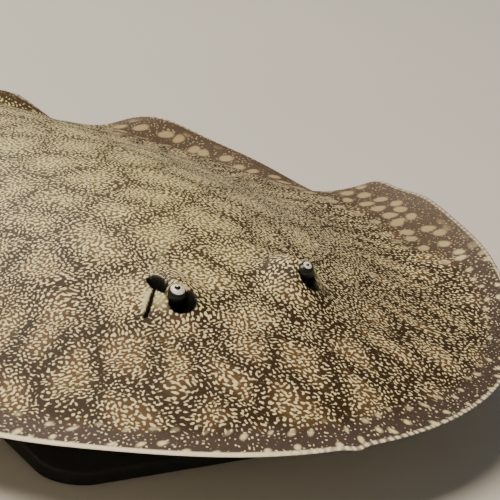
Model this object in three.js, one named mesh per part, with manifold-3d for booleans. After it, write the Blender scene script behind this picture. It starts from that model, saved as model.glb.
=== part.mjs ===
// Freshwater stingray, life size, gliding just above the ground on a low display stand.
//
// The animal is described in its own frame: u runs forward to the snout, v to its left and w up,
// with w = 0 at the plane of the disc's rim. The model frame is +X to the animal's left, -Y forward
// and +Z up, in millimetres, with the origin under the middle of the whole model, on the ground.
import * as THREE from 'three';
import { mergeVertices } from 'three/addons/utils/BufferGeometryUtils.js';
import Module from 'manifold-3d';

const wasm = await Module();
wasm.setup();

// ---- driving dimensions, in millimetres and degrees ----
const DISC = {
  halfWidth: 164, front: 197, rear: 190, // from the disc's middle to its sides, snout and rear
  frontRoundness: 2.05, rearRoundness: 2.1, // exponents of the outline's halves, where 2 is an ellipse
  endAngle: 163, // where the rear margin turns in towards the tail
  rootShare: 0.72, // how far out along the axis the ribs of the grid start
  rim: 1.6, finTop: 6, finBelly: 2, // thickness at the rim, and the lens of the fin above and below
};
const KNOB = { out: 2.2, width: 3.5 }; // the small point on the snout's rim
const RIM_HEIGHT = 34; // of the rim's plane above the ground
// Height and half width of the body's ridge over the fins, at distances along u.
const BACK_HEIGHT = [[-222, 8], [-190, 10.5], [-150, 15], [-100, 21.5], [-40, 28], [20, 31], [60, 29],
  [105, 20.5], [140, 11.5], [170, 4.5], [197, 0]];
const BACK_WIDTH = [[-222, 15], [-190, 22], [-160, 32], [-120, 48], [-60, 70], [20, 82], [105, 72],
  [140, 62], [197, 55]];
const BELLY_HEIGHT = [[-222, 7], [-185, 7], [-150, 5], [-100, 2.5], [120, 2.5], [165, 0], [197, 0]];
// Waves of the rim: the angle round the disc from the snout, the lift and the spread.
const LEFT_WAVES = [[74, 13, 20], [90, 11, 9], [97.7, 9.5, 4.6], [104, -11, 16], [138.6, 6, 8],
  [151.4, -11, 5.6], [167, 13, 7]];
const RIGHT_WAVES = [[48, -4.2, 14], [79, 5.4, 14.5], [106, -9, 11], [136, 6, 11], [158, -3, 8]];
const CURL_START = 0.7; // share of a rib at which the fin starts to curl up or down
const TROUGH = { at: 124, spread: 15, depth: 7 }; // a dip along the left rear margin, inside its raised rim

const TAIL = { start: -222, end: -500, centre: 2.5, swing: 55, ripple: 9, bendStart: -190 };
const TAIL_WIDTH = [[-500, 0.5], [-450, 1.8], [-370, 5], [-300, 10.5], [-222, 17]];
const TAIL_HEIGHT = [[-500, 0.5], [-450, 1.5], [-370, 4], [-300, 7.5], [-222, 10.5]];
const TAIL_CUTS = [-176, -288, -400]; // behind the trunk, and between the lengths of tail

const HEAD_REAR = 16;
const SNOUT_REAR = 160;
// Half width of the middle pieces, between the two pectoral fins.
const CORE_WIDTH = [[-226, 22], [-186, 24], [-150, 30], [-90, 46], [0, 66], [60, 70], [110, 64], [160, 44],
  [188, 24], [240, 20]];
const GAP = 0.35; // between neighbouring pieces

// Places on the head, on the right. Sizes are half lengths: along, across and upright.
const EYE_RADIUS = 4.2;
const EYES = { right: [108.2, 26.7, 25.8], left: [108.7, 30.1, 30] }; // the left one is raised
const ORBIT = { place: [105, 24.5, 18.2], size: [14.5, 10.5, 11] }; // the mound that carries the eye
const HOLLOW = { place: [113.4, 26.6, 25], size: [6, 5.6, 6.5] }; // in front of and below the eye
const SPIRACLE = { place: [99, 30, 24], size: [6.5, 2.6, 7.5] }; // the breathing hole behind it
const SLIT = { place: [106.5, 36.7, 23], size: [8, 1.1, 3.5], turn: 40 }; // runs forward and out from it
const VALVE = { place: [107.5, 33.2, 17.4], size: [6, 3.4, 7] }; // the spiracle's front wall
const RAISED = [0, 3.4, 4]; // how all of this is moved on the left: forward, outward and up

const PELVIC = { inner: 13, hinge: -140, spread: 66, tip: -216, top: -6.2, thickness: 2.4 };
const STING = { base: -318, length: 52, halfWidth: 2.6, height: 1.9, rise: 2 };
const UPPER_FOLD = { from: -372, to: -486, height: 3.2, thickness: 0.9 };
const LOWER_FOLD = { from: -300, to: -486, height: 4.6, thickness: 0.9 };

// The base lies a little forward of the disc's middle. rod is a radius, and rods are places along u.
const STAND = {
  length: 220, width: 170, thickness: 5, forward: 25, corner: 16, bevel: 0.8, rod: 3.2, rods: [72, -62],
};

// ---- small helpers ----
const radians = THREE.MathUtils.degToRad;
const clamp01 = (x) => Math.min(1, Math.max(0, x));
const smooth = (a, b, x) => {
  const s = clamp01((x - a) / (b - a));
  return s * s * (3 - 2 * s);
};

// A smooth curve through [x, value] knots in rising x, level beyond its ends.
function profile(knots, x) {
  const last = knots.length - 1;
  if (x <= knots[0][0]) return knots[0][1];
  if (x >= knots[last][0]) return knots[last][1];
  let i = 0;
  while (x > knots[i + 1][0]) i += 1;
  const slope = (k) => {
    if (k <= 0 || k >= last) return 0;
    const before = (knots[k][1] - knots[k - 1][1]) / (knots[k][0] - knots[k - 1][0]);
    const after = (knots[k + 1][1] - knots[k][1]) / (knots[k + 1][0] - knots[k][0]);
    return before * after <= 0 ? 0 : (2 * before * after) / (before + after);
  };
  const h = knots[i + 1][0] - knots[i][0];
  const s = (x - knots[i][0]) / h;
  const [p, q] = [knots[i][1], knots[i + 1][1]];
  return p * (1 + 2 * s) * (1 - s) ** 2 + q * s * s * (3 - 2 * s)
    + h * (slope(i) * s * (1 - s) ** 2 - slope(i + 1) * s * s * (1 - s));
}

// ---- the body's surface ----
// The left half of the outline, row by row: each row is a rib from the axis out to the rim.
function discEdge(angle) {
  const c = Math.cos(angle);
  const power = 2 / (c < 0 ? DISC.rearRoundness : DISC.frontRoundness);
  const u = Math.sign(c) * (c < 0 ? DISC.rear : DISC.front) * Math.abs(c) ** power;
  return [u, DISC.halfWidth * Math.sin(angle) ** power];
}

function discRow(angle) {
  const [u, v] = discEdge(angle);
  const knob = KNOB.out * Math.exp(-((v / KNOB.width) ** 2)) * (Math.cos(angle) > 0 ? 1 : 0);
  return { root: u * DISC.rootShare, edge: [u + knob, v], angle, tail: 0 };
}

// From the disc's rear margin the outline turns in one curve on to the side of the tail.
function filletRow(share) {
  const end = radians(DISC.endAngle);
  const [u, v] = discEdge(end);
  const reach = 24;
  const curve = new THREE.CubicBezierCurve(
    new THREE.Vector2(u, v),
    new THREE.Vector2(u - reach * 0.32, v - reach * 0.95),
    new THREE.Vector2(TAIL.start + reach, profile(TAIL_WIDTH, TAIL.start) + 0.6),
    new THREE.Vector2(TAIL.start, profile(TAIL_WIDTH, TAIL.start)),
  );
  const p = curve.getPoint(share);
  const root = THREE.MathUtils.lerp(u * DISC.rootShare, TAIL.start, share ** 1.25);
  return { root, edge: [p.x, p.y], angle: end + share * radians(12), tail: smooth(0, 1, share) };
}

function tailRow(u) {
  return { root: u, edge: [u, profile(TAIL_WIDTH, u)], angle: Math.PI, tail: 1 };
}

function bodyRows(discCount, filletCount, tailCount) {
  const rows = [];
  for (let i = 0; i <= discCount; i += 1) {
    rows.push(discRow(radians(DISC.endAngle) * (i / discCount) ** 1.15));
  }
  for (let i = 1; i <= filletCount; i += 1) rows.push(filletRow(i / filletCount));
  for (let i = 1; i <= tailCount; i += 1) {
    rows.push(tailRow(TAIL.start + (TAIL.end - TAIL.start) * (i / tailCount)));
  }
  return rows;
}

// How much the swimming wave lifts the rim, at an angle from the snout on one side.
function rimLift(angle, side) {
  const waves = side > 0 ? LEFT_WAVES : RIGHT_WAVES;
  const degrees = THREE.MathUtils.radToDeg(angle);
  const wave = ([at, lift, spread]) => lift * Math.exp(-(((degrees - at) / spread) ** 2));
  return smooth(0, 9, degrees) * waves.reduce((sum, each) => sum + wave(each), 0);
}

// How deep the fin dips just inside the rim, at an angle from the snout on one side.
function troughDepth(angle, side) {
  const degrees = THREE.MathUtils.radToDeg(angle);
  return side > 0 ? TROUGH.depth * Math.exp(-(((degrees - TROUGH.at) / TROUGH.spread) ** 2)) : 0;
}

// The tail's swing to the left behind the disc, and the turned frame that follows it.
function bend([u, v, w]) {
  const s = clamp01((TAIL.bendStart - u) / (TAIL.bendStart - TAIL.end));
  const offset = TAIL.swing * s * s + TAIL.ripple * Math.sin(2 * Math.PI * s) * s;
  const slope = -(2 * TAIL.swing * s + TAIL.ripple * (Math.sin(2 * Math.PI * s)
    + 2 * Math.PI * s * Math.cos(2 * Math.PI * s))) / (TAIL.bendStart - TAIL.end);
  const long = Math.hypot(1, slope);
  return [u - (v * slope) / long, offset + v / long, w];
}

const ridge = (x) => Math.exp(-0.9 * Math.abs(x) ** 2.2);

// The height of the back (upper = 1) or belly (upper = -1) at share t of a row's rib.
function height(row, t, side, upper) {
  const u = row.root + (row.edge[0] - row.root) * t;
  const v = row.edge[1] * t;
  const rim = (DISC.rim / 2) * Math.sqrt(1 - t ** 24);
  const across = v / profile(BACK_WIDTH, u);
  const body = upper > 0
    ? DISC.finTop * (1 - t * t) ** 0.9 + profile(BACK_HEIGHT, u) * ridge(across)
    : DISC.finBelly * (1 - t * t) + profile(BELLY_HEIGHT, u) * ridge(across);
  const curl = clamp01((t - CURL_START) / (1 - CURL_START));
  const dip = troughDepth(row.angle, side) * Math.sin(Math.PI * curl) ** 2;
  const flex = rimLift(row.angle, side) * curl ** 2 - dip;
  const disc = flex + upper * (rim + body * (1 - t ** 10));
  const tail = TAIL.centre + upper * profile(TAIL_HEIGHT, u) * Math.sqrt(1 - t * t);
  return THREE.MathUtils.lerp(disc, tail, row.tail);
}

function surfacePoint(row, t, side, upper) {
  const u = row.root + (row.edge[0] - row.root) * t;
  return bend([u, side * row.edge[1] * t, height(row, t, side, upper)]);
}

// The back's or belly's height over a place on the disc, found by stepping to its row.
function heightAt(u, v, upper) {
  let low = 0;
  let high = radians(DISC.endAngle);
  const row = () => discRow((low + high) / 2);
  for (let i = 0; i < 40; i += 1) {
    const r = row();
    const t = Math.abs(v) / r.edge[1];
    if (r.root + (r.edge[0] - r.root) * t > u) low = r.angle; else high = r.angle;
  }
  return height(row(), Math.abs(v) / row().edge[1], Math.sign(v), upper);
}

// ---- solids ----
const toModel = ([u, v, w]) => [v, -u, w + RIM_HEIGHT];

function solidFromTriangles(points, triangles) {
  const geometry = new THREE.BufferGeometry();
  geometry.setAttribute('position', new THREE.Float32BufferAttribute(points.flat(), 3));
  geometry.setIndex(triangles.flat());
  return solid(geometry);
}

// A closed three.js geometry as a manifold, with its doubled vertices merged.
function solid(geometry) {
  geometry.deleteAttribute('normal');
  geometry.deleteAttribute('uv');
  const merged = mergeVertices(geometry, 1e-4);
  const index = Array.from(merged.index.array);
  const kept = [];
  for (let i = 0; i < index.length; i += 3) {
    const [a, b, c] = index.slice(i, i + 3);
    if (a !== b && b !== c && c !== a) kept.push(a, b, c);
  }
  return new wasm.Manifold(new wasm.Mesh({
    numProp: 3,
    vertProperties: new Float32Array(merged.attributes.position.array),
    triVerts: new Uint32Array(kept),
  }));
}

// Rings of points, all of one length, joined into a closed skin with its two ends capped by fans.
function ringSolid(rings) {
  const n = rings[0].length;
  const triangles = [];
  for (let i = 0; i + 1 < rings.length; i += 1) {
    for (let j = 0; j < n; j += 1) {
      const [a, b] = [i * n + j, i * n + ((j + 1) % n)];
      triangles.push([a, b + n, b], [a, a + n, b + n]);
    }
  }
  const last = (rings.length - 1) * n;
  for (let j = 1; j + 1 < n; j += 1) {
    triangles.push([0, j, j + 1], [last, last + j + 1, last + j]);
  }
  return solidFromTriangles(rings.flat(), triangles);
}

// The whole body, snout to tail tip. The first row runs out along the axis, so it closes on itself.
function wholeBody() {
  const steps = 9;
  const shares = Array.from({ length: steps + 1 }, (_, i) => Math.sin((Math.PI / 2) * (i / steps)));
  const rows = bodyRows(34, 4, 10);
  const points = [];
  const triangles = [];
  const ring = (row) => {
    const out = [];
    for (let j = -steps; j <= steps; j += 1) {
      out.push(surfacePoint(row, shares[Math.abs(j)], j < 0 ? -1 : 1, 1));
    }
    for (let j = steps - 1; j > -steps; j -= 1) {
      out.push(surfacePoint(row, shares[Math.abs(j)], j < 0 ? -1 : 1, -1));
    }
    return out;
  };
  rows.forEach((row) => points.push(...ring(row).map(toModel)));
  const n = 4 * steps;
  for (let i = 0; i + 1 < rows.length; i += 1) {
    for (let j = 0; j < n; j += 1) {
      const [a, b] = [i * n + j, i * n + ((j + 1) % n)];
      triangles.push([a, b, b + n], [a, b + n, a + n]);
    }
  }
  const last = (rows.length - 1) * n;
  for (let j = 1; j + 1 < n; j += 1) triangles.push([last, last + j, last + j + 1]);
  return solidFromTriangles(points, triangles);
}

const coreWidth = (u) => (u < CORE_WIDTH[0][0] ? 110 : profile(CORE_WIDTH, u));

// The middle of the body between two distances along the axis, as a tall prism grown all round.
function prism(from, to, grow) {
  const edge = [];
  const step = 8;
  for (let u = from; u <= to; u += step) {
    const place = THREE.MathUtils.clamp(u, from - grow, to + grow);
    edge.push([place, coreWidth(u) + grow]);
  }
  const shape = new THREE.Shape();
  edge.forEach(([u, v], i) => (i ? shape.lineTo(v, -u) : shape.moveTo(v, -u)));
  edge.reverse().forEach(([u, v]) => shape.lineTo(-v, -u));
  const tall = 160;
  const geometry = new THREE.ExtrudeGeometry(shape, { depth: tall, bevelEnabled: false, steps: 1 });
  geometry.translate(0, 0, RIM_HEIGHT - tall / 2);
  return solid(geometry);
}

const middlePiece = (body, from, to) => body.intersect(prism(from, to, -GAP / 2));

function pectoral(body, side) {
  const half = placed(new THREE.BoxGeometry(300, 600, 300), [0, side * 150, 0]);
  return body.intersect(half).subtract(prism(-520, 240, GAP / 2));
}

// A three.js geometry moved to a place in the animal's frame, as a solid.
function placed(geometry, place, turn = new THREE.Euler()) {
  geometry.applyMatrix4(new THREE.Matrix4().makeRotationFromEuler(turn));
  geometry.translate(...toModel(place));
  return solid(geometry);
}

// A rounded lump, with its long axis turned outwards from straight ahead.
function lump([u, v, w], [long, wide, tall], turn, side) {
  const made = new THREE.SphereGeometry(1, 12, 8);
  made.rotateX(Math.PI / 2);
  made.scale(wide, long, tall);
  return placed(made, [u, side * v, w], new THREE.Euler(0, 0, side * radians(turn)));
}

// A lump of the head's relief, moved on the left with the raised eye.
function feature({ place, size, turn = 0 }, side) {
  const at = side > 0 ? place.map((value, i) => value + RAISED[i]) : place;
  return lump(at, size, turn, side);
}

function eyeball(side, grow) {
  const size = Array(3).fill(EYE_RADIUS + grow);
  return lump(side > 0 ? EYES.left : EYES.right, size, 0, side);
}

function head(body) {
  return [1, -1].reduce((made, side) => made
    .add(feature(ORBIT, side))
    .subtract(feature(SPIRACLE, side))
    .add(feature(VALVE, side))
    .subtract(feature(SLIT, side))
    .subtract(feature(HOLLOW, side))
    .subtract(eyeball(side, GAP)), middlePiece(body, HEAD_REAR, SNOUT_REAR));
}

// A pelvic fin is a thin rounded triangle that lies under the disc's rear margin.
function pelvic(body, side) {
  const { inner, hinge, spread, tip, top, thickness } = PELVIC;
  const shape = new THREE.Shape();
  shape.moveTo(inner, -hinge);
  shape.bezierCurveTo(inner + 18, -hinge - 2, spread - 14, -hinge + 26, spread, -hinge + 46);
  shape.bezierCurveTo(spread + 6, -hinge + 60, spread - 8, -tip - 3, spread - 26, -tip);
  shape.bezierCurveTo(inner + 16, -tip + 3, inner + 4, -tip + 1, inner, -tip - 6);
  const sheet = new THREE.ExtrudeGeometry(shape, { depth: thickness, bevelEnabled: false, curveSegments: 7 });
  sheet.translate(0, 0, RIM_HEIGHT + top - thickness);
  const made = side < 0 ? solid(sheet).mirror([1, 0, 0]) : solid(sheet);
  const lowered = body.translate([0, 0, -GAP]);
  const aside = body.translate([side * GAP, 0, 0]);
  return made.subtract(body).subtract(lowered).subtract(aside);
}

// The sting lies back along the top of the tail, tapering to a point.
function sting() {
  const rings = [];
  const steps = 10;
  for (let i = 0; i <= steps; i += 1) {
    const s = i / steps;
    const u = STING.base - STING.length * s;
    const size = Math.max(0.12, Math.sqrt(1 - s) * (1 - 0.35 * s)) * smooth(-0.25, 0.12, s);
    const foot = TAIL.centre + profile(TAIL_HEIGHT, u) + GAP + STING.rise * s;
    const ring = [[0, 0], [1, 0.35], [0.55, 0.8], [0, 1], [-0.55, 0.8], [-1, 0.35]];
    const [wide, tall] = [STING.halfWidth * size, STING.height * size];
    rings.push(ring.map(([x, z]) => toModel(bend([u, x * wide, foot + z * tall]))));
  }
  return ringSolid(rings);
}

// A low fold of skin along the top (upper = 1) or the underside of the tail.
function tailFold({ from, to, height: tall, thickness }, upper) {
  const rings = [];
  const steps = 16;
  for (let i = 0; i <= steps; i += 1) {
    const s = i / steps;
    const u = THREE.MathUtils.lerp(from, to, s);
    const foot = TAIL.centre + upper * (profile(TAIL_HEIGHT, u) + GAP);
    const rise = Math.max(0.5, tall * Math.sin(Math.PI * s ** 0.8) ** 0.6);
    const half = thickness / 2;
    const ring = [[half, 0], [half * 0.7, upper * rise], [-half * 0.7, upper * rise], [-half, 0]];
    if (upper < 0) ring.reverse();
    rings.push(ring.map(([x, z]) => toModel(bend([u, x, foot + z]))));
  }
  return ringSolid(rings);
}

function standBase() {
  const { length, width, corner, thickness, bevel } = STAND;
  const [x, y] = [width / 2 - bevel, length / 2 - bevel];
  const shape = new THREE.Shape();
  shape.moveTo(-x + corner, -y);
  shape.lineTo(x - corner, -y);
  shape.absarc(x - corner, -y + corner, corner, -Math.PI / 2, 0);
  shape.lineTo(x, y - corner);
  shape.absarc(x - corner, y - corner, corner, 0, Math.PI / 2);
  shape.lineTo(-x + corner, y);
  shape.absarc(-x + corner, y - corner, corner, Math.PI / 2, Math.PI);
  shape.lineTo(-x, -y + corner);
  shape.absarc(-x + corner, -y + corner, corner, Math.PI, 1.5 * Math.PI);
  const plate = new THREE.ExtrudeGeometry(shape, {
    depth: thickness - bevel, curveSegments: 5, bevelSize: bevel, bevelThickness: bevel, bevelSegments: 1,
    steps: 1, bevelOffset: 0,
  });
  const made = solid(plate);
  const slab = solid(new THREE.BoxGeometry(400, 400, thickness).translate(0, 0, thickness / 2));
  return made.intersect(slab).translate([0, -STAND.forward, 0]);
}

function standRod(u) {
  const floor = STAND.thickness + GAP;
  const top = RIM_HEIGHT + heightAt(u, 0.01, -1) - GAP;
  const rod = new THREE.CylinderGeometry(STAND.rod, STAND.rod, top - floor, 16);
  rod.rotateX(Math.PI / 2);
  rod.translate(0, -u, (top + floor) / 2);
  return solid(rod);
}

// ---- the model ----
const skin = new THREE.MeshStandardMaterial({ color: 0x7d7258, roughness: 0.55 });
const iris = new THREE.MeshStandardMaterial({ color: 0xb9b6a4, roughness: 0.15 });
const spine = new THREE.MeshStandardMaterial({ color: 0xcfc3a4, roughness: 0.5 });
const fold = new THREE.MeshStandardMaterial({ color: 0x5b5144, roughness: 0.6 });
const plate = new THREE.MeshStandardMaterial({ color: 0x1d1e1f, roughness: 0.45 });
const steel = new THREE.MeshStandardMaterial({ color: 0xb8babc, roughness: 0.3, metalness: 1 });

const group = new THREE.Group();

function add(name, made, material) {
  const mesh = made.getMesh();
  const geometry = new THREE.BufferGeometry();
  geometry.setAttribute('position', new THREE.BufferAttribute(new Float32Array(mesh.vertProperties), 3));
  geometry.setIndex(new THREE.BufferAttribute(new Uint32Array(mesh.triVerts), 1));
  geometry.computeVertexNormals();
  const piece = new THREE.Mesh(geometry, material);
  piece.name = name;
  group.add(piece);
}

const body = wholeBody();
add('snout', middlePiece(body, SNOUT_REAR, 240), skin);
add('head', head(body), skin);
add('trunk', middlePiece(body, TAIL_CUTS[0], HEAD_REAR), skin);
add('tail_base', middlePiece(body, TAIL_CUTS[1], TAIL_CUTS[0]), skin);
add('tail_middle', middlePiece(body, TAIL_CUTS[2], TAIL_CUTS[1]), skin);
add('tail_tip', middlePiece(body, -520, TAIL_CUTS[2]), skin);
[['left', 1], ['right', -1]].forEach(([name, side]) => {
  add(`pectoral_fin_${name}`, pectoral(body, side), skin);
  add(`pelvic_fin_${name}`, pelvic(body, side), skin);
  add(`eye_${name}`, eyeball(side, 0), iris);
});
add('tail_sting', sting(), spine);
add('tail_fold_upper', tailFold(UPPER_FOLD, 1), fold);
add('tail_fold_lower', tailFold(LOWER_FOLD, -1), fold);
add('stand_base', standBase(), plate);
add('stand_rod_front', standRod(STAND.rods[0]), steel);
add('stand_rod_rear', standRod(STAND.rods[1]), steel);

// The origin goes under the middle of the model's box.
const box = new THREE.Box3().setFromObject(group);
const middle = box.getCenter(new THREE.Vector3());
group.position.set(-middle.x, -middle.y, -box.min.z);
group.updateMatrixWorld(true);

export default group;
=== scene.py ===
"""The looks of a life-size freshwater stingray that glides just above the ground on a plain stand.

The animal is worked out in its own frame, in millimetres: u forward to the snout, v to its left and
w up from the plane of the disc's rim. to_model() turns that into the model's frame, in metres.
"""

from types import SimpleNamespace

import bmesh
import bpy
import numpy as np
from mathutils import Matrix, Vector


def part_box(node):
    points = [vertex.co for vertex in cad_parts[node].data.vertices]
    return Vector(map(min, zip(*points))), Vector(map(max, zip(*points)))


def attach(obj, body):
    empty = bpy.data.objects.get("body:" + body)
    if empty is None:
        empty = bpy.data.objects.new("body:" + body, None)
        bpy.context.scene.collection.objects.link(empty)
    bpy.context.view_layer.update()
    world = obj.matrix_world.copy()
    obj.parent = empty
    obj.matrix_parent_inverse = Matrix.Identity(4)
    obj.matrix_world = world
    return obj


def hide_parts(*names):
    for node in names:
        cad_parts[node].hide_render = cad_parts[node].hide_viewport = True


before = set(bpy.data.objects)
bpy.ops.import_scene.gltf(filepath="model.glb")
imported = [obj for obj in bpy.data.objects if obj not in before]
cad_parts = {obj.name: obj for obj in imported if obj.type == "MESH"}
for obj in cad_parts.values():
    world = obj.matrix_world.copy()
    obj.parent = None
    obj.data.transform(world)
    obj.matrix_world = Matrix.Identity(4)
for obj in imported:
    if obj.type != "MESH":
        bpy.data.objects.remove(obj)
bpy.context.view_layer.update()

MM = 0.001

# ---- driving dimensions, in millimetres and degrees, as in the solids ----
HALF_WIDTH, FRONT, REAR = 164.0, 197.0, 190.0  # from the disc's middle to its sides, snout and rear
FRONT_ROUNDNESS, REAR_ROUNDNESS = 2.05, 2.1  # exponents of the outline's halves, where 2 is an ellipse
END_ANGLE = 163.0  # where the rear margin turns in towards the tail
ROOT_SHARE = 0.72  # how far out along the axis the ribs of the grid start
RIM, FIN_TOP, FIN_BELLY = 1.6, 6.0, 2.0  # thickness of the rim, and of the fin above and below it
KNOB_OUT, KNOB_WIDTH = 2.2, 3.5  # of the small point at the snout
RIM_HEIGHT = 34.0  # of the rim's plane above the ground

# The hump over the fins, as (u, size) knots from the tail to the snout.
BACK_HEIGHT = [(-222, 8), (-190, 10.5), (-150, 15), (-100, 21.5), (-40, 28), (20, 31), (60, 29),
               (105, 20.5), (140, 11.5), (170, 4.5), (197, 0)]
BACK_WIDTH = [(-222, 15), (-190, 22), (-160, 32), (-120, 48), (-60, 70), (20, 82), (105, 72),
              (140, 62), (197, 55)]
BELLY_HEIGHT = [(-222, 7), (-185, 7), (-150, 5), (-100, 2.5), (120, 2.5), (165, 0), (197, 0)]

# The rim's swimming wave: each bell's angle from the snout, its lift, and its width in degrees.
LEFT_WAVES = [(74, 13, 20), (90, 11, 9), (97.7, 9.5, 4.6), (104, -11, 16), (138.6, 6, 8),
              (151.4, -11, 5.6), (167, 13, 7)]
RIGHT_WAVES = [(48, -4.2, 14), (79, 5.4, 14.5), (106, -9, 11), (136, 6, 11), (158, -3, 8)]
CURL_START = 0.7  # share of a rib at which the fin starts to curl up or down
TROUGH = dict(at=124.0, spread=15.0, depth=7.0)  # a dip inside the raised rim of the left rear margin

TAIL_START, TAIL_END, TAIL_CENTRE = -222.0, -500.0, 2.5  # its two ends, and its middle line's height
TAIL_SWING, TAIL_RIPPLE, BEND_START = 55.0, 9.0, -190.0  # swing to the left, its S-shape and its start
# Half of the tail's width, and of its height, as (u, size) knots.
TAIL_WIDTH = [(-500, 0.5), (-450, 1.8), (-370, 5), (-300, 10.5), (-222, 17)]
TAIL_HEIGHT = [(-500, 0.5), (-450, 1.5), (-370, 4), (-300, 7.5), (-222, 10.5)]
FILLET = 24.0  # reach of the curve that leads from the rear margin into the tail

EYE = {-1: np.array([108.2, 26.7, 25.8]), 1: np.array([108.7, 30.1, 30.0])}  # the left eye is raised
EYE_RADIUS = 4.2

BASE_FORWARD = 25.0  # of the middle of the stand's base from the disc's middle

# The model's place of the animal's own origin, from the stand's base.
base_low, base_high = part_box("stand_base")
ORIGIN = np.array([0.0, (base_low.y + base_high.y) / 2 + BASE_FORWARD * MM, RIM_HEIGHT * MM])


def to_model(points):
    """Animal frame in millimetres to model frame in metres: (u, v, w) becomes (v, -u, w)."""
    u, v, w = np.moveaxis(np.asarray(points, float), -1, 0)
    return np.stack([v, -u, w], -1) * MM + ORIGIN


def smooth(low, high, x):
    """Rises from 0 at low to 1 at high along the curve 3s^2 - 2s^3."""
    s = np.clip((x - low) / (high - low), 0, 1)
    return s * s * (3 - 2 * s)


def profile(knots, x):
    """A cubic through (place, value) knots in rising order, with harmonic-mean slopes and level ends."""
    at, value = np.array(knots, float).T
    step = np.diff(at)
    rise = np.diff(value) / step
    slope = np.zeros(len(at))
    same = rise[:-1] * rise[1:] > 0
    slope[1:-1][same] = 2 * rise[:-1][same] * rise[1:][same] / (rise[:-1] + rise[1:])[same]
    x = np.clip(x, at[0], at[-1])
    i = np.clip(np.searchsorted(at, x, side="right") - 1, 0, len(at) - 2)
    s = (x - at[i]) / step[i]
    bend = step[i] * (slope[i] * s * (1 - s) ** 2 - slope[i + 1] * s * s * (1 - s))
    return value[i] * (1 + 2 * s) * (1 - s) ** 2 + value[i + 1] * s * s * (3 - 2 * s) + bend


def spread(low, high, count, windows):
    """count values from low to high, packed closer by each window's factor between its two ends."""
    fine = np.linspace(low, high, 4001)
    density = np.ones_like(fine)
    for start, end, factor in windows:
        edge = (end - start) * 0.15 + 1e-6
        inside = smooth(start - edge, start, fine) * (1 - smooth(end, end + edge, fine))
        density += (factor - 1) * inside
    total = np.concatenate([[0], np.cumsum((density[1:] + density[:-1]) / 2)])
    return np.interp(np.linspace(0, total[-1], count), total, fine)


# ---- the body's surface ----
def disc_rows(angles):
    """Ribs of the disc: two halves of a superellipse, with a small point at the snout."""
    c, s = np.cos(angles), np.sin(angles)
    power = 2 / np.where(c < 0, REAR_ROUNDNESS, FRONT_ROUNDNESS)
    u = np.sign(c) * np.where(c < 0, REAR, FRONT) * np.abs(c) ** power
    v = HALF_WIDTH * np.abs(s) ** power
    knob = KNOB_OUT * np.exp(-((v / KNOB_WIDTH) ** 2)) * (c > 0)
    return np.stack([u * ROOT_SHARE, u + knob, v, angles, np.zeros_like(u)], 1)


def fillet_rows(shares):
    """Ribs that run out to a cubic Bezier from the disc's rear margin on to the side of the tail."""
    end = np.radians(END_ANGLE)
    _, u, v, _, _ = disc_rows(np.array([end]))[0]
    side = float(profile(TAIL_WIDTH, TAIL_START))
    controls = np.array([[u, v], [u - FILLET * 0.32, v - FILLET * 0.95],
                         [TAIL_START + FILLET, side + 0.6], [TAIL_START, side]])
    s = shares[:, None]
    weights = np.hstack([(1 - s) ** 3, 3 * s * (1 - s) ** 2, 3 * s * s * (1 - s), s**3])
    edge = weights @ controls
    root = u * ROOT_SHARE + (TAIL_START - u * ROOT_SHARE) * shares**1.25
    angle = end + shares * np.radians(12)
    return np.stack([root, edge[:, 0], edge[:, 1], angle, smooth(0, 1, shares)], 1)


def tail_rows(places):
    """Ribs square to the tail's middle line, out to its half width."""
    width = profile(TAIL_WIDTH, places)
    flat = np.full_like(places, np.pi)
    return np.stack([places, places, width, flat, np.ones_like(places)], 1)


def rim_lift(angle, side):
    """The rim's swimming wave: a sum of bells round the disc, faded out at the snout."""
    degrees = np.degrees(angle)

    def total(waves):
        return sum(lift * np.exp(-(((degrees - at) / width) ** 2)) for at, lift, width in waves)

    return smooth(0, 9, degrees) * np.where(side > 0, total(LEFT_WAVES), total(RIGHT_WAVES))


def bend(u, v):
    """Swings the tail to the left behind the disc, square to its curved middle line."""
    span = BEND_START - TAIL_END
    s = np.clip((BEND_START - u) / span, 0, 1)
    turn = 2 * np.pi * s
    offset = TAIL_SWING * s * s + TAIL_RIPPLE * np.sin(turn) * s
    slope = -(2 * TAIL_SWING * s + TAIL_RIPPLE * (np.sin(turn) + turn * np.cos(turn))) / span
    long = np.hypot(1, slope)
    return u - v * slope / long, offset + v / long


def ridge(x):
    """The cross-section of the body's hump: a bell a little flatter on top than a Gaussian."""
    return np.exp(-0.9 * np.abs(x) ** 2.2)


def sheet_height(rows, t, side, upper):
    """Height of the back or the belly at share t of each rib: the wave, then rim, fin lens and hump.

    The wave lifts the outer part of the fin by the square of its share there. The left rear margin also
    dips by a sine's square between the body and the rim."""
    root, edge_u, edge_v, angle, tail = (rows[:, k, None] for k in range(5))
    u = root + (edge_u - root) * t
    across = edge_v * t / profile(BACK_WIDTH, u)
    rim = RIM / 2 * np.sqrt(1 - t**24)
    if upper > 0:
        body = FIN_TOP * (1 - t * t) ** 0.9 + profile(BACK_HEIGHT, u) * ridge(across)
    else:
        body = FIN_BELLY * (1 - t * t) + profile(BELLY_HEIGHT, u) * ridge(across)
    curl = np.clip((t - CURL_START) / (1 - CURL_START), 0, 1)
    beside = (np.degrees(angle) - TROUGH["at"]) / TROUGH["spread"]
    dip = TROUGH["depth"] * np.exp(-(beside**2)) * (side > 0)
    flex = rim_lift(angle, side) * curl**2 - dip * np.sin(np.pi * curl) ** 2
    disc = flex + upper * (rim + body * (1 - t**10))
    round_tail = TAIL_CENTRE + upper * profile(TAIL_HEIGHT, u) * np.sqrt(1 - t * t)
    return disc + (round_tail - disc) * tail


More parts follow.
